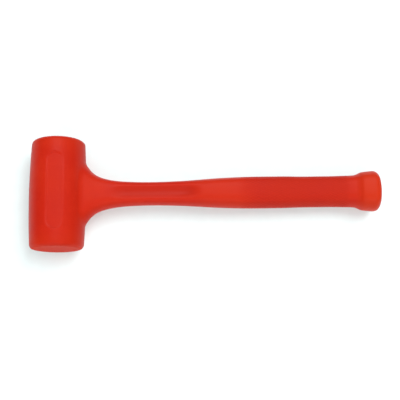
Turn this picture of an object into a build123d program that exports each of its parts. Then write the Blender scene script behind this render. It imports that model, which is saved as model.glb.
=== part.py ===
from build123d import *
import math
import os

import numpy as np

# ---------------------------------------------------------------------------
# One-piece cast dead blow mallet, lying on its side on a flat surface.
# Row frame, millimetres: +X along the handle from head to butt, Y along the
# striking axis, +Z up. The origin is the bottom centre of the whole mallet.
# The head is a body of revolution about Y. The handle runs downhill by
# rest_tilt, so that the mallet rests on three points: the crest of the head
# beyond each end of the lower panel, and the pommel.
# ---------------------------------------------------------------------------

# placing
head_x = -135.20          # head centre
rest_tilt = 1.633         # degrees, the handle's slope down to the surface

# urethane head
head_length = 100.0       # face to face
head_r_mid = 25.7         # barrel shape, widest in the middle
head_r_end = 24.15
face_edge_r = 3.9

# label panel, a blank flat-bottomed recess on both sides of the head
panel_length = 68.0
panel_width = 13.6
panel_floor = 24.2        # its floor, from the head's middle plane
panel_shift = 1.0         # of its middle line, towards the handle

# handle, in spans that meet end to end, each a list of sections: distance from
# the head centre, half width (Y), half thickness at the flat on each broad
# side, and the ellipse's other half axis, which the flats cut short
flare_sections = [
    (16.0, 32.0, 15.2, 17.3),
    (21.0, 30.6, 14.0, 16.3),
    (26.0, 26.8, 12.9, 15.4),
    (31.0, 20.9, 11.9, 14.6),
    (36.0, 17.2, 11.0, 13.9),
]
neck_root_sections = [
    (36.0, 17.2, 11.0, 13.9),
    (44.0, 14.07, 10.3, 13.4),
    (52.0, 12.42, 9.9, 13.1),
    (60.0, 11.5, 9.6, 12.95),
    (68.0, 11.02, 9.42, 12.85),
]
neck_sections = [
    (68.0, 11.02, 9.42, 12.85),
    (78.0, 10.7, 9.32, 12.8),
    (88.0, 10.64, 9.3, 12.8),
    (98.0, 10.83, 9.33, 12.85),
    (108.0, 11.17, 9.5, 12.95),
    (118.0, 11.62, 10.15, 13.2),
    (128.0, 12.3, 11.2, 13.8),
    (138.0, 13.0, 11.95, 14.4),
    (148.0, 13.62, 12.25, 14.8),
]
grip_sections = [
    (148.0, 13.62, 12.25, 14.8),
    (167.7, 14.33, 12.42, 15.05),
    (187.3, 14.52, 12.5, 15.15),
    (207.0, 14.45, 12.42, 15.05),
    (226.7, 14.08, 12.12, 14.7),
    (246.3, 14.1, 12.15, 14.7),
    (266.0, 14.5, 12.6, 15.1),
]
pommel_sections = [
    (266.0, 14.5, 12.6, 15.1),
    (271.3, 14.8, 12.9, 15.4),
    (274.8, 15.85, 13.95, 16.45),
    (278.2, 17.45, 15.5, 18.0),
    (284.0, 18.2, 16.25, 18.75),
    (289.2, 18.7, 16.75, 19.25),
]
# rounded and domed end of the pommel
butt_sections = [
    (289.2, 18.7, 16.75, 19.25),
    (291.6, 17.9, 15.95, 18.4),
    (293.3, 15.85, 13.95, 16.25),
    (294.5, 13.05, 11.35, 13.35),
    (295.4, 9.45, 8.05, 9.65),
    (296.0, 5.4, 4.6, 5.5),
    (296.2, 2.2, 1.9, 2.25),
]
handle_spans = [
    flare_sections,
    neck_root_sections,
    neck_sections,
    grip_sections,
    pommel_sections,
    butt_sections,
]

# shallow dished channel along the neck, on both broad sides
flute_start = 52.0
flute_end = 128.0
flute_width = 12.6
flute_floor = 7.8         # its lowest line, from the handle's middle plane
flute_r = 16.0            # of the dish across the channel

# steel canister in the head
tube_od = 38.1
tube_wall = 2.4
tube_length = 78.0
cap_thickness = 4.5
bead_width = 3.6
bead_height = 1.1

# rod and the boss that joins it to the canister
rod_d = 9.525
rod_end = 283.0
groove_depth = 0.8
groove_width = 3.0
groove_spacing = 14.0
groove_first = 176.0
groove_count = 7
boss_d = 17.0
boss_height = 8.5
boss_weld_leg = 2.6
rod_weld_leg = 2.4

# steel shot
ball_d = 4.76
ball_count = 358
charge_length = 44.0      # of the cavity's length, so the charge can travel
ball_wall_gap = 0.3       # clear of the tube and the caps over the whole travel

os.makedirs("parts", exist_ok=True)

tube_r = tube_od / 2
bore_r = tube_r - tube_wall
cavity_length = tube_length - 2 * cap_thickness
rod_r = rod_d / 2

slope = math.radians(rest_tilt)


def barrel_radius(y):
    """The head's radius at a distance y from its middle."""
    sag = head_r_mid - head_r_end
    arc_r = ((head_length / 2) ** 2 + sag**2) / (2 * sag)
    return head_r_mid - (arc_r - math.sqrt(arc_r**2 - y**2))


# the head's lowest points lie just past the panel's round ends
off_centre = barrel_radius(panel_length / 2) * math.sin(slope) - panel_shift
past_panel = (panel_length - panel_width) / 2 + math.sqrt(
    (panel_width / 2) ** 2 - off_centre**2
)
lying_height = barrel_radius(past_panel)
head_centre = Vector(head_x, 0, lying_height)
along = Vector(math.cos(slope), 0, -math.sin(slope))    # down the handle
upward = Vector(math.sin(slope), 0, math.cos(slope))    # across its thickness
striking_axis = Axis(head_centre, (0, 1, 0))
handle_axis = Axis(head_centre, along)


def across(distance):
    """The plane across the handle, local x along Y, local y through its thickness."""
    return Plane(origin=head_centre + along * distance, x_dir=(0, 1, 0), z_dir=along)


def broadside(height):
    """The plane parallel to the handle's broad sides, local x along the handle."""
    return Plane(origin=head_centre + upward * height, x_dir=along, z_dir=upward)


def disc_plane(y):
    """The plane across the striking axis at a given Y."""
    return Plane(origin=head_centre + Vector(0, y, 0), x_dir=along, z_dir=(0, 1, 0))


# radius against Y, for everything that turns about the striking axis
radial = Plane(origin=head_centre, x_dir=along, z_dir=upward)


# --- canister --------------------------------------------------------------

with BuildPart() as canister_tube:
    with BuildSketch(disc_plane(-tube_length / 2)):
        Circle(tube_r)
        Circle(bore_r, mode=Mode.SUBTRACT)
    extrude(amount=tube_length)
canister_tube.part.label = "canister_tube"

with BuildPart() as front_end_cap:
    with BuildSketch(disc_plane(tube_length / 2 - cap_thickness)):
        Circle(bore_r)
    extrude(amount=cap_thickness)
front_end_cap.part.label = "front_end_cap"

with BuildPart() as rear_end_cap:
    with BuildSketch(disc_plane(-tube_length / 2)):
        Circle(bore_r)
    extrude(amount=cap_thickness)
rear_end_cap.part.label = "rear_end_cap"

# a low weld bead over each seam between cap and tube
with BuildPart() as front_cap_weld:
    with BuildSketch(radial):
        with BuildLine():
            foot = Line(
                (bore_r - bead_width / 2, tube_length / 2),
                (bore_r + bead_width / 2, tube_length / 2),
            )
            ThreePointArc(foot @ 1, (bore_r, tube_length / 2 + bead_height), foot @ 0)
        make_face()
    revolve(axis=striking_axis)
front_cap_weld.part.label = "front_cap_weld"

with BuildPart() as rear_cap_weld:
    with BuildSketch(radial):
        with BuildLine():
            foot = Line(
                (bore_r - bead_width / 2, -tube_length / 2),
                (bore_r + bead_width / 2, -tube_length / 2),
            )
            ThreePointArc(foot @ 1, (bore_r, -tube_length / 2 - bead_height), foot @ 0)
        make_face()
    revolve(axis=striking_axis)
rear_cap_weld.part.label = "rear_cap_weld"

# --- rod, its boss and their welds ------------------------------------------

boss_end = tube_r + boss_height

with BuildPart() as handle_rod:
    with BuildSketch(across(tube_r - 3)):
        Circle(rod_r)
    extrude(amount=rod_end - (tube_r - 3))
    chamfer(handle_rod.faces().sort_by(handle_axis)[-1].edges(), length=1.0)
    # keying grooves under the grip
    for i in range(groove_count):
        with BuildSketch(across(groove_first + i * groove_spacing)):
            Circle(rod_r + 1)
            Circle(rod_r - groove_depth, mode=Mode.SUBTRACT)
        extrude(amount=groove_width, mode=Mode.SUBTRACT)
    # saddle cut where it meets the tube
    with BuildSketch(disc_plane(-tube_length / 2)):
        Circle(tube_r)
    extrude(amount=tube_length, mode=Mode.SUBTRACT)
handle_rod.part.label = "handle_rod"

with BuildPart() as rod_boss:
    with BuildSketch(across(tube_r - 4)):
        Circle(boss_d / 2)
        Circle(rod_r, mode=Mode.SUBTRACT)
    extrude(amount=boss_end - (tube_r - 4))
    with BuildSketch(disc_plane(-tube_length / 2)):
        Circle(tube_r)
    extrude(amount=tube_length, mode=Mode.SUBTRACT)
rod_boss.part.label = "rod_boss"

# the saddle of the boss dips round the tube, and so does its fillet weld
saddle_dip = tube_r - math.sqrt(tube_r**2 - (boss_d / 2 + boss_weld_leg) ** 2)
with BuildPart() as boss_weld:
    with BuildSketch(across(tube_r - saddle_dip)):
        Circle(boss_d / 2 + boss_weld_leg)
    with BuildSketch(across(tube_r + boss_weld_leg)):
        Circle(boss_d / 2 + 0.2)
    loft(ruled=True)
    with BuildSketch(across(tube_r - 6)):
        Circle(boss_d / 2)
    extrude(amount=20, mode=Mode.SUBTRACT)
    with BuildSketch(disc_plane(-tube_length / 2)):
        Circle(tube_r)
    extrude(amount=tube_length, mode=Mode.SUBTRACT)
boss_weld.part.label = "boss_weld"

with BuildPart() as rod_weld:
    with BuildSketch(across(boss_end)):
        Circle(rod_r + rod_weld_leg)
    with BuildSketch(across(boss_end + rod_weld_leg)):
        Circle(rod_r + 0.2)
    loft(ruled=True)
    with BuildSketch(across(boss_end - 1)):
        Circle(rod_r)
    extrude(amount=rod_weld_leg + 2, mode=Mode.SUBTRACT)
rod_weld.part.label = "rod_weld"

# --- urethane jacket ---------------------------------------------------------

# the space that the steelwork takes up in the casting, all filled in
with BuildPart() as insert_space:
    with BuildSketch(disc_plane(-tube_length / 2)):
        Circle(tube_r)
    extrude(amount=tube_length)
    with BuildSketch(across(tube_r - 4)):
        Circle(boss_d / 2)
    extrude(amount=boss_end - (tube_r - 4))
    add(boss_weld.part)
    add(rod_weld.part)
    add(handle_rod.part)
    add(front_cap_weld.part)
    add(rear_cap_weld.part)

# the handle: lofted ellipses, with a flat along each broad side
side_view = Plane(origin=head_centre, x_dir=along, z_dir=(0, -1, 0))
with BuildPart() as handle_skin:
    for span in handle_spans:
        for distance, half_width, flat, half_axis in span:
            with BuildSketch(across(distance)):
                Ellipse(half_width, half_axis)
        loft()
    with BuildSketch(side_view):
        with BuildLine():
            for span in handle_spans:
                Spline(*[(distance, flat) for distance, w, flat, e in span])
                Spline(*[(distance, -flat) for distance, w, flat, e in span])
            first, last = handle_spans[0][0], handle_spans[-1][-1]
            Line((first[0], -first[2]), (first[0], first[2]))
            Line((last[0], -last[2]), (last[0], last[2]))
        make_face()
    extrude(amount=50, both=True, mode=Mode.INTERSECT)

# the tool that dishes a flute: a round-ended slot whose floor is curved across
with BuildPart() as flute_tool:
    flute_middle = (flute_start + flute_end) / 2
    for side in (1, -1):
        with BuildSketch(broadside(side * (flute_floor - 1))):
            with Locations((flute_middle, 0)):
                SlotOverall(flute_end - flute_start, flute_width)
        extrude(amount=side * 8)
    with BuildSketch(across(flute_start - 5)):
        for side in (1, -1):
            with Locations((0, side * (flute_floor + flute_r))):
                Circle(flute_r)
    extrude(amount=flute_end - flute_start + 10, mode=Mode.INTERSECT)

with BuildPart() as urethane_jacket:
    with BuildSketch(radial) as head_profile:
        with BuildLine():
            barrel = ThreePointArc(
                (head_r_end, -head_length / 2),
                (head_r_mid, 0),
                (head_r_end, head_length / 2),
            )
            Polyline(
                barrel @ 1, (0, head_length / 2), (0, -head_length / 2), barrel @ 0
            )
        make_face()
        rim = head_profile.vertices().group_by(Axis.X)[-1]
        fillet(rim, radius=face_edge_r)
    revolve(axis=striking_axis)
    add(handle_skin.part)
    for side in (1, -1):
        with BuildSketch(broadside(side * panel_floor)):
            with Locations((panel_shift, 0)):
                SlotOverall(panel_length, panel_width, rotation=90)
        extrude(amount=side * 6, mode=Mode.SUBTRACT)
    add(flute_tool.part, mode=Mode.SUBTRACT)
    add(insert_space.part, mode=Mode.SUBTRACT)
urethane_jacket.part.label = "urethane_jacket"

# --- steel shot --------------------------------------------------------------


def settled_charge(count, ball_r, inside_r, length, rounds=1800):
    """Centres of equal balls shaken down into a closed cylinder about Y.

    They start at random, from a fixed seed, and are pushed apart where they
    overlap and back inside where they reach through the wall.
    """
    rng = np.random.default_rng(11)
    r = inside_r - ball_r
    half = length / 2 - ball_r
    turn = rng.uniform(0, 2 * math.pi, count)
    out = r * np.sqrt(rng.uniform(0, 1, count))
    p = np.stack(
        [out * np.cos(turn), rng.uniform(-half, half, count), out * np.sin(turn)], 1
    )
    for step in range(rounds):
        reach = 2 * ball_r * 1.02
        apart = p[:, None] - p[None]
        far = np.sqrt((apart**2).sum(-1))
        np.fill_diagonal(far, 1e9)
        push = np.clip(reach - far, 0, None) * 0.28
        p = p + (apart / far[..., None] * push[..., None]).sum(1)
        p += rng.normal(0, 0.12 * ball_r * (1 - step / rounds) ** 2, p.shape)
        p[:, 1] = np.clip(p[:, 1], -half, half)
        away = np.hypot(p[:, 0], p[:, 2])
        shrink = np.where(away > r, r / away, 1.0)
        p[:, 0] *= shrink
        p[:, 2] *= shrink
    return p


centres = settled_charge(
    ball_count, ball_d / 2, bore_r - ball_wall_gap, charge_length
)
gaps = np.sqrt(((centres[:, None] - centres[None]) ** 2).sum(-1))
np.fill_diagonal(gaps, 1e9)
print("closest ball centres", round(float(gaps.min()), 3), "ball", ball_d)

with BuildPart() as steel_shot:
    spots = [
        tuple(head_centre + along * float(a) + upward * float(c) + Vector(0, float(b), 0))
        for a, b, c in centres
    ]
    with Locations(*spots):
        Sphere(min(ball_d, float(gaps.min()) - 0.02) / 2)
steel_shot.part.label = "steel_shot"

charge_travel = cavity_length - charge_length - 2 * ball_wall_gap
print("shot travel each way", round(charge_travel / 2, 2))
print("head centre height", round(lying_height, 4))

for piece in (
    urethane_jacket,
    canister_tube,
    front_end_cap,
    rear_end_cap,
    front_cap_weld,
    rear_cap_weld,
    rod_boss,
    boss_weld,
    handle_rod,
    rod_weld,
    steel_shot,
):
    export_step(piece.part, f"parts/{piece.part.label}.step")
    box = piece.part.bounding_box()
    print(piece.part.label, len(piece.part.solids()), box.min, box.max)
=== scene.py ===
import math

import bpy
import numpy as np
from mathutils import Matrix, Vector


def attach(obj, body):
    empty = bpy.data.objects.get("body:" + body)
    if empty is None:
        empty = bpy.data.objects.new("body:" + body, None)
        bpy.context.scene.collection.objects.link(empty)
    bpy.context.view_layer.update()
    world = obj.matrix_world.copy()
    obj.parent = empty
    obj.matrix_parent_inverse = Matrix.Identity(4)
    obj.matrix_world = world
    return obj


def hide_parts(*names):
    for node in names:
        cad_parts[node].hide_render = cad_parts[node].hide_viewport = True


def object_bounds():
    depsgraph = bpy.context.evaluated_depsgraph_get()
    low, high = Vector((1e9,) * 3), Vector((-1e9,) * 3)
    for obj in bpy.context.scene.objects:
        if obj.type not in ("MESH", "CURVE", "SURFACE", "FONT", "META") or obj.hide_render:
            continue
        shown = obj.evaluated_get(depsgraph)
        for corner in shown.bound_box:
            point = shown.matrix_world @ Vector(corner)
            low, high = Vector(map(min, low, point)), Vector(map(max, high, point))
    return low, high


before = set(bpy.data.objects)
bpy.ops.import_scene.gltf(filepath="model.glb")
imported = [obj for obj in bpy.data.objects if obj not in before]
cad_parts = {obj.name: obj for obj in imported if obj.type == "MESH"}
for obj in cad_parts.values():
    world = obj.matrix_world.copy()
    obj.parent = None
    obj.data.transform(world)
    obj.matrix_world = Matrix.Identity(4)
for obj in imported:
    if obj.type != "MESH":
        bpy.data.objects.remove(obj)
cad_box = [list(corner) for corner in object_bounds()]

# ---------------------------------------------------------------------------
# Sizes, in millimetres, the same as in the CAD. Design coordinates: a along the
# handle from the head's centre, b along the striking axis, c through the
# handle's thickness.
# ---------------------------------------------------------------------------

head_x = -135.20
lying_height = 24.9839
slope = math.radians(1.633)
head_length = 100.0
head_r_mid = 25.7
head_r_end = 24.15
face_edge_r = 3.9
panel_length = 68.0
panel_width = 13.6
panel_floor = 24.2
panel_shift = 1.0
flute_start = 52.0
flute_end = 128.0
flute_half_width = 6.3
flute_floor = 7.8
butt_end = 296.2
grip_start = 163.0
grip_end = 267.0

# distance, half width (b), half thickness at the flats (c), ellipse half axis (c)
handle_sections = np.array(
    [
        (10.0, 32.6, 16.0, 18.0),
        (16.0, 32.0, 15.2, 17.3),
        (21.0, 30.6, 14.0, 16.3),
        (26.0, 26.8, 12.9, 15.4),
        (31.0, 20.9, 11.9, 14.6),
        (36.0, 17.2, 11.0, 13.9),
        (44.0, 14.07, 10.3, 13.4),
        (52.0, 12.42, 9.9, 13.1),
        (60.0, 11.5, 9.6, 12.95),
        (68.0, 11.02, 9.42, 12.85),
        (78.0, 10.7, 9.32, 12.8),
        (88.0, 10.64, 9.3, 12.8),
        (98.0, 10.83, 9.33, 12.85),
        (108.0, 11.17, 9.5, 12.95),
        (118.0, 11.62, 10.15, 13.2),
        (128.0, 12.3, 11.2, 13.8),
        (138.0, 13.0, 11.95, 14.4),
        (148.0, 13.62, 12.25, 14.8),
        (167.7, 14.33, 12.42, 15.05),
        (187.3, 14.52, 12.5, 15.15),
        (207.0, 14.45, 12.42, 15.05),
        (226.7, 14.08, 12.12, 14.7),
        (246.3, 14.1, 12.15, 14.7),
        (266.0, 14.5, 12.6, 15.1),
        (271.3, 14.8, 12.9, 15.4),
        (274.8, 15.85, 13.95, 16.45),
        (278.2, 17.45, 15.5, 18.0),
        (284.0, 18.2, 16.25, 18.75),
        (290.0, 18.7, 16.75, 19.25),
        (300.0, 18.7, 16.75, 19.25),
    ]
)


# --- the handle's profiles as smooth curves of the distance along it ----------


def smooth_curve(x, y, at):
    """A monotone cubic through the points, so that it can't wave between them."""
    h = np.diff(x)
    d = np.diff(y) / h
    m = np.zeros_like(y)
    m[0], m[-1] = d[0], d[-1]
    for i in range(1, len(y) - 1):
        if d[i - 1] * d[i] > 0:
            w1, w2 = 2 * h[i] + h[i - 1], h[i] + 2 * h[i - 1]
            m[i] = (w1 + w2) / (w1 / d[i - 1] + w2 / d[i])
    k = np.clip(np.searchsorted(x, at) - 1, 0, len(h) - 1)
    t = (at - x[k]) / h[k]
    return (
        (2 * t**3 - 3 * t**2 + 1) * y[k]
        + (t**3 - 2 * t**2 + t) * h[k] * m[k]
        + (3 * t**2 - 2 * t**3) * y[k + 1]
        + (t**3 - t**2) * h[k] * m[k + 1]
    )


along = np.arange(10.0, 300.0, 0.25)
width_at, flat_at, axis_at = (
    smooth_curve(handle_sections[:, 0], handle_sections[:, i], along) for i in (1, 2, 3)
)


def step(x, low, high):
    t = np.clip((x - low) / (high - low), 0, 1)
    return t * t * (3 - 2 * t)


def round_max(p, q, r):
    """The deeper of two distances, with the edge between them rounded."""
    return (
        np.minimum(np.maximum(p + r, q + r), 0)
        + np.hypot(np.maximum(p + r, 0), np.maximum(q + r, 0))
        - r
    )


def soft_min(p, q, k):
    h = np.clip(0.5 + 0.5 * (q - p) / k, 0, 1)
    return q * (1 - h) + p * h - k * h * (1 - h)


def soft_max(p, q, k):
    return -soft_min(-p, -q, k)


def slot_distance(a, b):
    """Distance from the label panel's outline, negative inside it."""
    half = (panel_length - panel_width) / 2
    return np.hypot(a - panel_shift, b - np.clip(b, -half, half)) - panel_width / 2


def head_field(a, b, c):
    sag = head_r_mid - head_r_end
    arc_r = ((head_length / 2) ** 2 + sag**2) / (2 * sag)
    out = np.hypot(a, c)
    barrel = np.hypot(out + arc_r - head_r_mid, b) - arc_r
    skin = round_max(barrel, np.abs(b) - head_length / 2, face_edge_r)
    floor = np.abs(c) - panel_floor
    recess = soft_min(-slot_distance(a, b), floor, 1.0)
    return soft_max(skin, recess, 1.5)


def handle_field(a, b, c):
    w = np.interp(a, along, width_at)
    t = np.interp(a, along, flat_at)
    e = np.interp(a, along, axis_at)
    q = np.sqrt((b / w) ** 2 + (c / e) ** 2) + 1e-9
    slope_q = np.sqrt((b / w**2) ** 2 + (c / e**2) ** 2) / q + 1e-9
    side = (q - 1) / np.maximum(slope_q, 0.012)
    # the flute's floor is straight, and runs out where the grip rises
    dish = np.clip(1 - (b / flute_half_width) ** 2, 0, 1) ** 1.1
    run = step(a, flute_start - 5, flute_start + 12) * (
        1 - step(a, flute_end - 14, flute_end + 4)
    )
    broad = np.abs(c) - (t - np.maximum(t - flute_floor, 0) * dish * run)
    skin = round_max(side, broad, 2.6)
    # domed end, with a rounded rim
    past = np.maximum(a - (butt_end - 58), 0)
    dome = np.sqrt(past**2 + b**2 + (c * 1.1) ** 2) - 58
    skin = round_max(skin, dome, 4.2)
    return np.maximum(skin, 6 - a)


def field(p):
    a, b, c = p[..., 0], p[..., 1], p[..., 2]
    return soft_min(head_field(a, b, c), handle_field(a, b, c), 3.2)


def gradient(p, h=0.04):
    g = np.empty_like(p)
    for i in range(3):
        d = np.zeros(3)
        d[i] = h
        g[..., i] = (field(p + d) - field(p - d)) / (2 * h)
    return g


def on_surface(p, rounds=3):
    for _ in range(rounds):
        g = gradient(p)
        p = p - g * (field(p) / np.maximum((g * g).sum(-1), 1e-6))[..., None]
    return p


# --- quads round the zero level of the field ----------------------------------


def surface_quads(cell):
    """One vertex in each cell that the surface crosses, one quad for each grid edge."""
    lo = np.array([-27.0, -51.2, -26.6])
    count = [
        int(math.ceil((298.6 - lo[0]) / cell)),
        2 * int(math.ceil(51.2 / cell)),
        2 * int(math.ceil(26.8 / cell)),
    ]
    # an odd number of cells across b and c, so that a row of vertices lies in the middle
    ax = lo[0] + cell * np.arange(count[0] + 1)
    by = cell * (np.arange(count[1] + 2) - (count[1] + 1) / 2)
    cz = cell * (np.arange(count[2] + 2) - (count[2] + 1) / 2)
    grid = np.stack(np.meshgrid(ax, by, cz, indexing="ij"), -1)
    f = field(grid)
    inside = f < 0
    n = np.array(f.shape) - 1
    total = np.zeros(tuple(n) + (3,))
    hits = np.zeros(tuple(n))
    for axis in range(3):
        lower = [slice(None)] * 3
        upper = [slice(None)] * 3
        lower[axis], upper[axis] = slice(0, -1), slice(1, None)
        f0, f1 = f[tuple(lower)], f[tuple(upper)]
        cross = (f0 < 0) != (f1 < 0)
        t = np.where(cross, f0 / np.where(cross, f0 - f1, 1), 0)
        point = grid[tuple(lower)].copy()
        point[..., axis] += t * cell
        others = [i for i in range(3) if i != axis]
        for s0 in (0, 1):
            for s1 in (0, 1):
                cut = [slice(None)] * 3
                for other, s in zip(others, (s0, s1)):
                    cut[other] = slice(s, n[other] + s)
                cut = tuple(cut)
                total += np.where(cross[cut][..., None], point[cut], 0)
                hits += cross[cut]
    used = hits > 0
    index = np.full(tuple(n), -1)
    index[used] = np.arange(used.sum())
    verts = total[used] / hits[used][:, None]
    quads = []
    for axis in range(3):
        lower = [slice(None)] * 3
        upper = [slice(None)] * 3
        lower[axis], upper[axis] = slice(0, -1), slice(1, None)
        i0, i1 = inside[tuple(lower)], inside[tuple(upper)]
        u, v = [(1, 2), (2, 0), (0, 1)][axis]
        at = np.argwhere(i0 != i1)
        keep = (
            (at[:, u] > 0) & (at[:, v] > 0) & (at[:, u] < n[u]) & (at[:, v] < n[v])
        )
        at = at[keep]
        ring = []
        for du, dv in ((-1, -1), (0, -1), (0, 0), (-1, 0)):
            k = at.copy()
            k[:, u] += du
            k[:, v] += dv
            ring.append(index[k[:, 0], k[:, 1], k[:, 2]])
        ring = np.stack(ring, 1)
        flip = ~i0[at[:, 0], at[:, 1], at[:, 2]]
        ring[flip] = ring[flip][:, ::-1]
        quads.append(ring)
    return verts, np.concatenate(quads)


def neighbours_mean(verts, faces):
    total = np.zeros_like(verts)
    seen = np.zeros(len(verts))
    for i in range(4):
        for j in ((i + 1) % 4, (i + 3) % 4):
            np.add.at(total, faces[:, i], verts[faces[:, j]])
            np.add.at(seen, faces[:, i], 1)
    return total / seen[:, None]


def relaxed(verts, faces, rounds=6):
    """Evens the quads out along the surface and puts them back on it."""
    for _ in range(rounds):
        g = gradient(verts)
        g /= np.linalg.norm(g, axis=1)[:, None] + 1e-9
        move = neighbours_mean(verts, faces) - verts
        move -= g * (move * g).sum(1)[:, None]
        verts = on_surface(verts + 0.5 * move, 1)
    return verts


def refined(verts, faces, chosen):
    """Cuts the chosen quads in four. A neighbour takes the new points into its outline."""
    edges = np.stack([faces, np.roll(faces, -1, 1)], -1)
    key = np.sort(edges, -1)
    code = key[..., 0].astype(np.int64) * len(verts) + key[..., 1]
    cut = np.unique(code[chosen])
    slot = np.searchsorted(cut, code)
    slot_safe = np.minimum(slot, len(cut) - 1)
    has = cut[slot_safe] == code
    middle = 0.5 * (verts[cut // len(verts)] + verts[cut % len(verts)])
    centre = verts[faces[chosen]].mean(1)
    base_mid = len(verts)
    base_centre = base_mid + len(middle)
    new = np.concatenate([verts, middle, centre])
    out = []
    mid = np.where(has, base_mid + slot_safe, -1)
    m = mid[chosen]
    q = faces[chosen]
    cen = base_centre + np.arange(len(q))
    for i in range(4):
        out.append(np.stack([q[:, i], m[:, i], cen, m[:, (i + 3) % 4]], 1))
    small = np.concatenate(out)
    rest = [
        [int(x) for pair in zip(faces[f], mid[f]) for x in pair if x >= 0]
        for f in np.flatnonzero(~chosen & has.any(1))
    ]
    plain = faces[~chosen & ~has.any(1)]
    return new, small, plain, rest


cell = 1.04
verts, quads = surface_quads(cell)
verts = on_surface(verts, 2)
verts = relaxed(verts, quads)
middles = verts[quads].mean(1)
near_panel = (np.abs(slot_distance(middles[:, 0], middles[:, 1])) < 2.3) & (
    np.abs(middles[:, 2]) > 21
)
in_grip = (middles[:, 0] > grip_start - 3) & (middles[:, 0] < grip_end + 3)
on_seam = (np.abs(middles[:, 2]) < 1.1) & (
    (np.abs(middles[:, 1]) > 8) | (middles[:, 0] > 290) | (middles[:, 0] < -20)
)
verts, small, plain, rest = refined(verts, quads, near_panel | in_grip | on_seam)
verts = on_surface(verts, 3)
normal = gradient(verts)
normal /= np.linalg.norm(normal, axis=1)[:, None] + 1e-9

# the grip's moulded pattern: low diamonds in rows, fading out at both ends and
# towards the parting line
a, b, c = verts.T
w = np.interp(a, along, width_at)
e = np.interp(a, along, axis_at)
angle = np.arctan2(c / e, b / w)
pitch = 2.4
rows = 36
ridge = np.abs(np.sin(math.pi * a / (2 * pitch) + rows * angle / 2)) * np.abs(
    np.sin(math.pi * a / (2 * pitch) - rows * angle / 2)
)
grip = step(a, grip_start, grip_start + 9) * (1 - step(a, grip_end - 5, grip_end))
grip *= step(np.abs(c), 1.3, 2.6)
raised = grip * (np.sqrt(ridge) - 0.55)
# the mould's parting line, a fine raised line round the middle plane
seam = np.exp(-((c / 0.42) ** 2)) * (
    (np.abs(b) > 9) | (a > 285) | (a < -18)
)
shape = verts + normal * (0.25 * raised + 0.18 * seam)[:, None]

# millimetres in design coordinates to metres in the row frame
turn = np.array(
    [
        [math.cos(slope), 0, math.sin(slope)],
        [0, 1, 0],
        [-math.sin(slope), 0, math.cos(slope)],
    ]
)
origin = np.array([head_x, 0, lying_height])


def to_row(p):
    return (origin + p @ turn.T) / 1000


placed = to_row(shape)
lowest, highest = (np.array(corner) for corner in cad_box)
placed = np.clip(placed, lowest, highest)


# --- meshes ---------------------------------------------------------------------


def add_mesh(name, points, faces, smooth=True):
    mesh = bpy.data.meshes.new(name)
    sizes = np.array([len(f) for f in faces], np.int32)
    loops = np.concatenate([np.asarray(f, np.int32) for f in faces])
    mesh.vertices.add(len(points))
    mesh.vertices.foreach_set("co", np.asarray(points, np.float32).ravel())
    mesh.loops.add(len(loops))
    mesh.loops.foreach_set("vertex_index", loops)
    mesh.polygons.add(len(sizes))
    starts = np.concatenate([[0], np.cumsum(sizes)[:-1]]).astype(np.int32)
    mesh.polygons.foreach_set("loop_start", starts)
    mesh.polygons.foreach_set("loop_total", sizes)
    mesh.polygons.foreach_set("use_smooth", np.full(len(sizes), smooth))
    mesh.update()
    mesh.validate()
    obj = bpy.data.objects.new(name, mesh)
    bpy.context.scene.collection.objects.link(obj)
    return obj


def triangles_of(mesh):
    mesh.calc_loop_triangles()
    t = np.zeros(len(mesh.loop_triangles) * 3, np.int32)
    mesh.loop_triangles.foreach_get("vertices", t)
    co = np.zeros(len(mesh.vertices) * 3, np.float32)
    mesh.vertices.foreach_get("co", co)
    co = co.reshape(-1, 3).astype(float)
    whole, back = np.unique(np.round(co * 1e6).astype(np.int64), axis=0, return_inverse=True)
    t = back.reshape(-1)[t].reshape(-1, 3)
    t = t[(t[:, 0] != t[:, 1]) & (t[:, 1] != t[:, 2]) & (t[:, 2] != t[:, 0])]
    return whole / 1e6, t


def shells_of(count, tris):
    """A label for each vertex, the same for all that are joined up."""
    label = np.arange(count)
    pairs = np.concatenate([tris[:, [0, 1]], tris[:, [1, 2]]])
    while True:
        low = np.minimum(label[pairs[:, 0]], label[pairs[:, 1]])
        new = label.copy()
        np.minimum.at(new, pairs[:, 0], low)
        np.minimum.at(new, pairs[:, 1], low)
        new = new[new]
        if (new == label).all():
            return label
        label = new


# the casting's inner wall, round the steelwork, is the CAD's own
jacket_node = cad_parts["urethane_jacket"]
inner_points, inner_tris = triangles_of(jacket_node.data)
label = shells_of(len(inner_points), inner_tris)
outermost = label[np.argmin(inner_points[:, 0])]
keep = label[inner_tris[:, 0]] != outermost
inner_tris = inner_tris[keep]
kept, back = np.unique(inner_tris, return_inverse=True)
inner_tris = back.reshape(-1, 3)
inner_points = inner_points[kept]

faces = [list(f) for f in small] + [list(f) for f in plain] + rest
faces += [list(f) for f in inner_tris + len(placed)]
casting = add_mesh(
    "urethane_casting", np.concatenate([placed, inner_points]), faces
)


def attribute(obj, name, values):
    layer = obj.data.attributes.new(name, "FLOAT", "POINT")
    full = np.zeros(len(obj.data.vertices), np.float32)
    full[: len(values)] = values
    layer.data.foreach_set("value", full)


panel_mask = step(-slot_distance(a, b), 0.1, 0.7) * step(np.abs(c), 22.0, 23.0) * (
    1 - step(np.abs(c), panel_floor + 0.15, panel_floor + 0.5)
)
attribute(casting, "grip", grip)
attribute(casting, "raised", raised)
attribute(casting, "panel", panel_mask)
attribute(casting, "seam", seam)
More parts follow.
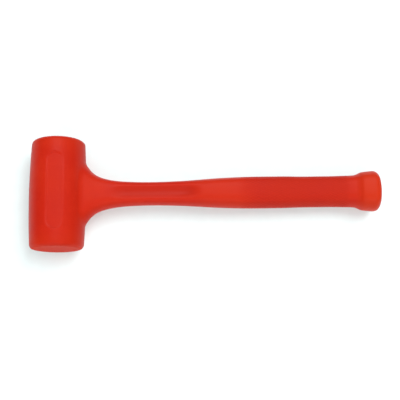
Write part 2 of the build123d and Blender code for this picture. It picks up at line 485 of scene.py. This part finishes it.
# darker on the grip, and painted shade along the bottom of the flutes and at the foot of the ramp up to
# the grip
dish = np.clip(1 - ((b - 0.6) / 5.6) ** 2, 0, 1)
flute_run = step(a, flute_start - 10, flute_start + 12) * (
    1 - step(a, flute_end - 10, flute_end + 4)
)
# painted shade where the ramp up to the grip faces away from the light
ramp_foot_shade = np.exp(-(((a - 121) / 8) ** 2)) * np.exp(-((b / 4.5) ** 2))
grip_tone_and_shade = 0.50 * step(a, 160, 200) * (1 - step(a, 256, 274))
grip_tone_and_shade += (0.80 * dish * flute_run + 0.15 * ramp_foot_shade) * (np.abs(c) > 5)
attribute(casting, "grip_tone_and_shade", grip_tone_and_shade)
# painted highlight: the pommel and the shoulder made lighter and more orange, as where light falls on
# them, and the head's ends a little lighter
shoulder_highlight = 0.35 * step(a, 120, 136) * (1 - step(a, 158, 188))
painted_highlight = step(a, 268, 281) + shoulder_highlight + 0.3 * step(np.abs(b), 34, 46) * (a < 35)
attribute(casting, "painted_highlight", painted_highlight)
attribute(casting, "striking", step(np.abs(b), 48.6, 49.9) * (a < 30))

# --- the shot: each ball as a rounded cube of quads --------------------------------

shot_points, shot_tris = triangles_of(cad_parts["steel_shot"].data)
label = shells_of(len(shot_points), shot_tris)
names, ball_of = np.unique(label, return_inverse=True)
ball_of = ball_of.reshape(-1)
corner = shot_points[shot_tris]
area = np.linalg.norm(
    np.cross(corner[:, 1] - corner[:, 0], corner[:, 2] - corner[:, 0]), axis=1
)
owner = ball_of[shot_tris[:, 0]]
weight = np.bincount(owner, area, len(names))
ball_centres = np.stack(
    [
        np.bincount(owner, area * corner[:, :, i].mean(1), len(names)) / weight
        for i in range(3)
    ],
    1,
)
reach = np.linalg.norm(shot_points - ball_centres[ball_of], axis=1)
ball_r = float(np.median(np.bincount(ball_of, reach, len(names)) / np.bincount(ball_of)))


def ball_mesh(n=6):
    points, quads, found = [], [], {}

    def at(p):
        key = tuple(np.round(p, 6))
        if key not in found:
            found[key] = len(points)
            points.append(np.array(p) / np.linalg.norm(p))
        return found[key]

    line = np.tan(np.linspace(-math.pi / 4, math.pi / 4, n + 1))
    for axis in range(3):
        for sign in (-1, 1):
            def corner_at(i, j):
                p = [0.0, 0.0, 0.0]
                p[axis] = float(sign)
                p[(axis + 1) % 3] = line[i]
                p[(axis + 2) % 3] = line[j]
                return at(p)

            for i in range(n):
                for j in range(n):
                    q = [
                        corner_at(i, j),
                        corner_at(i + 1, j),
                        corner_at(i + 1, j + 1),
                        corner_at(i, j + 1),
                    ]
                    quads.append(q if sign > 0 else q[::-1])
    return np.array(points), np.array(quads)


unit, unit_quads = ball_mesh()
shot = add_mesh(
    "loose_shot",
    (ball_centres[:, None] + unit[None] * ball_r).reshape(-1, 3),
    list(
        (unit_quads[None] + len(unit) * np.arange(len(names))[:, None, None]).reshape(-1, 4)
    ),
)

# --- materials -------------------------------------------------------------------


def new_material(name):
    material = bpy.data.materials.new(name)
    material.use_nodes = True
    nodes = material.node_tree.nodes
    return material, nodes, material.node_tree.links, nodes["Principled BSDF"]


class Tree:
    """Short names for the few kinds of node that the materials are made of."""

    def __init__(self, name):
        self.material, self.nodes, self.links, self.shader = new_material(name)
        self.place = self.nodes.new("ShaderNodeTexCoord").outputs["Object"]

    def put(self, source, target):
        if isinstance(source, (int, float)):
            target.default_value = source
        elif isinstance(source, tuple):
            target.default_value = source
        else:
            self.links.new(source, target)

    def stretched(self, scale, turned=(0, 0, 0)):
        node = self.nodes.new("ShaderNodeMapping")
        node.inputs["Scale"].default_value = scale
        node.inputs["Rotation"].default_value = turned
        self.links.new(self.place, node.inputs["Vector"])
        return node.outputs["Vector"]

    def noise(self, scale, detail=4.0, roughness=0.5, vector=None, distortion=0.0):
        node = self.nodes.new("ShaderNodeTexNoise")
        node.inputs["Scale"].default_value = scale
        node.inputs["Detail"].default_value = detail
        node.inputs["Roughness"].default_value = roughness
        node.inputs["Distortion"].default_value = distortion
        self.links.new(vector or self.place, node.inputs["Vector"])
        return node.outputs["Fac"]

    def cells(self, scale, vector=None, feature="F1"):
        node = self.nodes.new("ShaderNodeTexVoronoi")
        node.feature = feature
        node.inputs["Scale"].default_value = scale
        self.links.new(vector or self.place, node.inputs["Vector"])
        return node.outputs["Distance"]

    def ramp(self, source, stops):
        node = self.nodes.new("ShaderNodeValToRGB")
        band = node.color_ramp
        while len(band.elements) < len(stops):
            band.elements.new(0.5)
        for element, (where, value) in zip(band.elements, stops):
            element.position = where
            element.color = value if len(value) == 4 else (*value, 1)
        self.links.new(source, node.inputs["Fac"])
        return node.outputs["Color"]

    def span(self, source, low, high, to_low, to_high):
        node = self.nodes.new("ShaderNodeMapRange")
        for name, value in (
            ("From Min", low),
            ("From Max", high),
            ("To Min", to_low),
            ("To Max", to_high),
        ):
            node.inputs[name].default_value = value
        self.links.new(source, node.inputs["Value"])
        return node.outputs["Result"]

    def math(self, operation, first, second=0.0):
        node = self.nodes.new("ShaderNodeMath")
        node.operation = operation
        self.put(first, node.inputs[0])
        self.put(second, node.inputs[1])
        return node.outputs["Value"]

    def mixed(self, factor, first, second, blend="MIX"):
        node = self.nodes.new("ShaderNodeMix")
        node.data_type = "RGBA"
        node.blend_type = blend
        colours = [s for s in node.inputs if s.type == "RGBA"]
        self.put(factor, node.inputs[0])
        self.put(first, colours[0])
        self.put(second, colours[1])
        return [s for s in node.outputs if s.type == "RGBA"][0]

    def layer(self, name):
        node = self.nodes.new("ShaderNodeAttribute")
        node.attribute_name = name
        return node.outputs["Fac"]

    def bump(self, height, strength, distance, onto=None):
        node = self.nodes.new("ShaderNodeBump")
        node.inputs["Strength"].default_value = strength
        node.inputs["Distance"].default_value = distance
        self.links.new(height, node.inputs["Height"])
        if onto is not None:
            self.links.new(onto, node.inputs["Normal"])
        return node.outputs["Normal"]


def urethane():
    t = Tree("urethane_orange_red")
    grip_mask, raised_mask = t.layer("grip"), t.layer("raised")
    panel_layer, seam_layer = t.layer("panel"), t.layer("seam")
    cloud = t.noise(26, 5, 0.55)
    fine = t.noise(420, 3, 0.6)
    streak = t.noise(1.0, 4, 0.6, t.stretched((28, 150, 150)))
    base = t.ramp(
        cloud,
        [
            (0.30, (0.525, 0.0130, 0.0026)),
            (0.50, (0.555, 0.0168, 0.0032)),
            (0.72, (0.585, 0.0220, 0.0038)),
        ],
    )
    base = t.mixed(t.span(streak, 0.45, 0.75, 0.0, 0.30), base, (0.620, 0.0240, 0.0072, 1))
    base = t.mixed(t.span(fine, 0.35, 0.7, 0.0, 0.16), base, (0.49, 0.0140, 0.0042, 1))
    # dust and shade lie between the grip's diamonds, and their tops are rubbed paler
    hollow = t.math("MULTIPLY", grip_mask, t.span(raised_mask, -0.35, 0.15, 0.5, 0.0))
    base = t.mixed(hollow, base, (0.43, 0.0130, 0.0050, 1))
    top = t.math("MULTIPLY", grip_mask, t.span(raised_mask, 0.2, 0.45, 0.0, 0.35))
    base = t.mixed(top, base, (0.56, 0.0200, 0.0060, 1))
    base = t.mixed(t.math("MULTIPLY", panel_layer, 0.2), base, (0.52, 0.0160, 0.0042, 1))
    base = t.mixed(t.math("MULTIPLY", seam_layer, 0.4), base, (0.60, 0.0300, 0.0100, 1))
    # painted highlight on the pommel and the shoulder, and the head's ends a little lighter
    base = t.mixed(t.math("MULTIPLY", t.layer("painted_highlight"), 0.8), base, (0.600, 0.0310, 0.0052, 1))
    # darker on the grip, and painted shade in the flutes and at the ramp's foot
    base = t.mixed(t.layer("grip_tone_and_shade"), base, (0.466, 0.0152, 0.0042, 1))
    # small scuffs
    patch = t.noise(55, 2, 0.5)
    scratch = t.noise(1.0, 3, 0.7, t.stretched((900, 60, 300), (0.2, 0.4, 0.9)))
    scuff = t.math(
        "MULTIPLY", t.span(patch, 0.58, 0.70, 0.0, 1.0), t.span(scratch, 0.60, 0.72, 0.0, 1.0)
    )
    base = t.mixed(t.math("MULTIPLY", scuff, 0.35), base, (0.68, 0.070, 0.035, 1))
    # the faces are scuffed all over, and paler where they have struck
    struck = t.math("MULTIPLY", t.layer("striking"), t.span(t.noise(240, 4, 0.65), 0.40, 0.68, 0.0, 0.6))
    base = t.mixed(struck, base, (0.62, 0.050, 0.022, 1))
    t.links.new(base, t.shader.inputs["Base Color"])
    rough = t.math("ADD", t.span(cloud, 0.3, 0.7, 0.36, 0.47), t.math("MULTIPLY", grip_mask, 0.12))
    rough = t.math("ADD", rough, t.math("MULTIPLY", scuff, 0.15))
    rough = t.math("ADD", rough, t.math("MULTIPLY", panel_layer, 0.06))
    rough = t.math("ADD", rough, t.math("MULTIPLY", t.layer("striking"), 0.3))
    t.links.new(rough, t.shader.inputs["Roughness"])
    grain = t.bump(t.noise(1500, 2, 0.5), 0.10, 0.00006)
    skin = t.bump(t.noise(190, 3, 0.5), 0.12, 0.00016, grain)
    t.links.new(skin, t.shader.inputs["Normal"])
    t.shader.inputs["IOR"].default_value = 1.45
    t.shader.inputs["Specular IOR Level"].default_value = 0.13
    return t.material


def steel(name, dark, light, axis, rough=(0.28, 0.42)):
    """Bright-drawn steel with fine lines along one axis and a few dull stains."""
    t = Tree(name)
    scale = [900.0, 900.0, 900.0]
    scale[axis] = 14.0
    line = t.noise(1.0, 4, 0.6, t.stretched(tuple(scale)))
    stain = t.noise(38, 5, 0.6)
    base = t.mixed(t.span(line, 0.3, 0.7, 0.0, 1.0), (*dark, 1), (*light, 1))
    base = t.mixed(
        t.span(stain, 0.55, 0.8, 0.0, 0.45), base, (0.16, 0.13, 0.11, 1)
    )
    t.links.new(base, t.shader.inputs["Base Color"])
    t.links.new(t.span(stain, 0.3, 0.8, *rough), t.shader.inputs["Roughness"])
    t.links.new(t.bump(line, 0.25, 0.00003), t.shader.inputs["Normal"])
    t.shader.inputs["Metallic"].default_value = 1.0
    return t.material


def weld():
    t = Tree("weld_bead_blued")
    ripple = t.cells(620)
    heat = t.noise(120, 3, 0.6)
    base = t.ramp(
        heat,
        [
            (0.30, (0.30, 0.28, 0.26)),
            (0.50, (0.24, 0.20, 0.16)),
            (0.70, (0.13, 0.15, 0.22)),
        ],
    )
    t.links.new(base, t.shader.inputs["Base Color"])
    t.links.new(t.span(heat, 0.3, 0.7, 0.35, 0.55), t.shader.inputs["Roughness"])
    t.links.new(t.bump(ripple, 0.6, 0.0003), t.shader.inputs["Normal"])
    t.shader.inputs["Metallic"].default_value = 1.0
    return t.material


def balls():
    t = Tree("shot_tumbled_steel")
    tone = t.noise(300, 3, 0.6)
    speck = t.noise(2600, 2, 0.6)
    base = t.ramp(
        tone, [(0.3, (0.34, 0.34, 0.35)), (0.55, (0.50, 0.50, 0.51)), (0.75, (0.60, 0.59, 0.57))]
    )
    base = t.mixed(t.span(speck, 0.6, 0.75, 0.0, 0.5), base, (0.18, 0.16, 0.15, 1))
    t.links.new(base, t.shader.inputs["Base Color"])
    t.links.new(t.span(tone, 0.3, 0.7, 0.22, 0.38), t.shader.inputs["Roughness"])
    t.links.new(t.bump(speck, 0.2, 0.00003), t.shader.inputs["Normal"])
    t.shader.inputs["Metallic"].default_value = 1.0
    return t.material


casting.data.materials.append(urethane())
shot.data.materials.append(balls())
tube_steel = steel("canister_drawn_steel", (0.36, 0.36, 0.37), (0.52, 0.52, 0.53), 1)
cap_steel = steel("cap_turned_steel", (0.33, 0.33, 0.34), (0.50, 0.50, 0.51), 0)
rod_steel = steel("rod_bright_steel", (0.30, 0.30, 0.31), (0.44, 0.44, 0.45), 0)
boss_steel = steel("boss_turned_steel", (0.28, 0.28, 0.29), (0.42, 0.42, 0.43), 0)
bead_steel = weld()
for node, material in (
    ("urethane_jacket", casting.data.materials[0]),
    ("steel_shot", shot.data.materials[0]),
    ("canister_tube", tube_steel),
    ("front_end_cap", cap_steel),
    ("rear_end_cap", cap_steel),
    ("handle_rod", rod_steel),
    ("rod_boss", boss_steel),
    ("front_cap_weld", bead_steel),
    ("rear_cap_weld", bead_steel),
    ("boss_weld", bead_steel),
    ("rod_weld", bead_steel),
):
    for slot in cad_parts[node].material_slots:
        slot.material = material

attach(casting, "hammer")
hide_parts("urethane_jacket")
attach(shot, "shot")
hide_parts("steel_shot")

# --- floor, light and camera --------------------------------------------------------


def stage_floor():
    """A pale floor, a flat disc under the mallet."""
    ring, turns = [], 48
    radii = [0.0, 0.25, 0.6, 1.2, 2.4]
    points = [(0.0, 0.0, 0.0)]
    faces = []
    for r in radii[1:]:
        ring.append(len(points))
        points += [
            (r * math.cos(2 * math.pi * i / turns), r * math.sin(2 * math.pi * i / turns), 0.0)
            for i in range(turns)
        ]
    for i in range(turns):
        faces.append([0, ring[0] + i, ring[0] + (i + 1) % turns])
    for low, high in zip(ring, ring[1:]):
        for i in range(turns):
            j = (i + 1) % turns
            faces.append([low + i, high + i, high + j, low + j])
    floor = add_mesh("studio_floor", np.array(points) - [0, 0, 0.00002], faces)
    t = Tree("floor_paper")
    tone = t.noise(90, 3, 0.5)
    t.links.new(
        t.ramp(tone, [(0.3, (0.61, 0.69, 0.69)), (0.7, (0.63, 0.71, 0.71))]),
        t.shader.inputs["Base Color"],
    )
    t.shader.inputs["Roughness"].default_value = 0.95
    t.shader.inputs["Specular IOR Level"].default_value = 0.0
    floor.data.materials.append(t.material)
    return floor


stage_floor()

scene = bpy.context.scene
scene.view_settings.view_transform = "Standard"
scene.view_settings.look = "None"
world = bpy.data.worlds.new("studio")
scene.world = world
world.use_nodes = True
sky = world.node_tree.nodes
# a studio: dim walls near the floor, bright softboxes above them, and a dimmer ceiling
toward = sky.new("ShaderNodeTexCoord").outputs["Generated"]
parts = sky.new("ShaderNodeSeparateXYZ")
world.node_tree.links.new(toward, parts.inputs["Vector"])
walls = sky.new("ShaderNodeValToRGB")
heights = [(0.0, 0.15), (0.25, 0.22), (0.50, 0.80), (0.75, 1.10), (0.92, 1.05), (1.0, 0.95)]
while len(walls.color_ramp.elements) < len(heights):
    walls.color_ramp.elements.new(0.5)
for element, (height, value) in zip(walls.color_ramp.elements, heights):
    element.position = height
    element.color = (value, value, value, 1)
world.node_tree.links.new(parts.outputs["Z"], walls.inputs["Fac"])
world.node_tree.links.new(walls.outputs["Color"], sky["Background"].inputs["Color"])
# and dimmer beyond the head than beyond the butt
beyond = sky.new("ShaderNodeMapRange")
world.node_tree.links.new(parts.outputs["X"], beyond.inputs["Value"])
for name, value in (("From Min", -0.9), ("From Max", 0.0), ("To Min", 0.50), ("To Max", 0.90)):
    beyond.inputs[name].default_value = value
world.node_tree.links.new(beyond.outputs["Result"], sky["Background"].inputs["Strength"])
# behind the mallet the eye sees a plain pale backdrop, not the unlit wall
backdrop = sky.new("ShaderNodeBackground")
backdrop.inputs["Color"].default_value = (0.86, 0.87, 0.88, 1)
rays = sky.new("ShaderNodeLightPath")
either = sky.new("ShaderNodeMixShader")
links = world.node_tree.links
links.new(rays.outputs["Is Camera Ray"], either.inputs["Fac"])
links.new(sky["Background"].outputs["Background"], either.inputs[1])
links.new(backdrop.outputs["Background"], either.inputs[2])
links.new(either.outputs["Shader"], sky["World Output"].inputs["Surface"])


def far_lamp(name, azimuth, elevation, spread, power):
    """Soft light from far away, the same all over the floor."""
    data = bpy.data.lights.new(name, "SUN")
    data.angle = math.radians(spread)
    data.energy = power
    lamp = bpy.data.objects.new(name, data)
    scene.collection.objects.link(lamp)
    az, el = math.radians(azimuth), math.radians(elevation)
    source = Vector((math.cos(el) * math.cos(az), math.cos(el) * math.sin(az), math.sin(el)))
    lamp.location = source
    lamp.rotation_euler = (-source).to_track_quat("-Z", "Y").to_euler()
    return lamp


def only_on(lamp, name, objects):
    """Lets a lamp light these objects and nothing else."""
    group = bpy.data.collections.new(name)
    for obj in objects:
        group.objects.link(obj)
    lamp.light_linking.receiver_collection = group


paper = [bpy.data.objects["studio_floor"]]
mallet = [casting, shot] + list(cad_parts.values())
only_on(far_lamp("key_light", 80, 62, 40, 1.25), "mallet_lit", mallet)
far_lamp("front_light", -92, 36, 60, 0.86)
# the shadow's lamp, and a shadowless one that keeps the shadow pale
only_on(far_lamp("shadow_light", 31, 60, 34, 1.86), "paper_shaded", paper)
paper_light = far_lamp("paper_light", 0, 90, 2, 1.28)
paper_light.data.use_shadow = False
only_on(paper_light, "paper_lit", paper)

# the camera that the photograph's outline fits
focal_px, frame_px = 742.24, 400
turn_vector = Vector((-0.20525, 0.02226, 0.01457))
shift_x, shift_y, distance = -129.913, 4.585, 677.814
view_turn = Matrix.Rotation(turn_vector.length, 3, turn_vector.normalized())
seen_from = view_turn.transposed() @ Vector((-shift_x, -shift_y, distance))
camera_axes = np.array(view_turn.transposed())
to_row_axes = turn @ camera_axes
camera_data = bpy.data.cameras.new("camera")
camera_data.sensor_width = 36.0
camera_data.lens = 36.0 * focal_px / frame_px
camera_data.clip_start = 0.01
camera = bpy.data.objects.new("camera", camera_data)
scene.collection.objects.link(camera)
pose = Matrix(to_row_axes.tolist()).to_4x4()
pose.translation = Vector(to_row(np.array(seen_from)))
camera.matrix_world = pose
scene.camera = camera
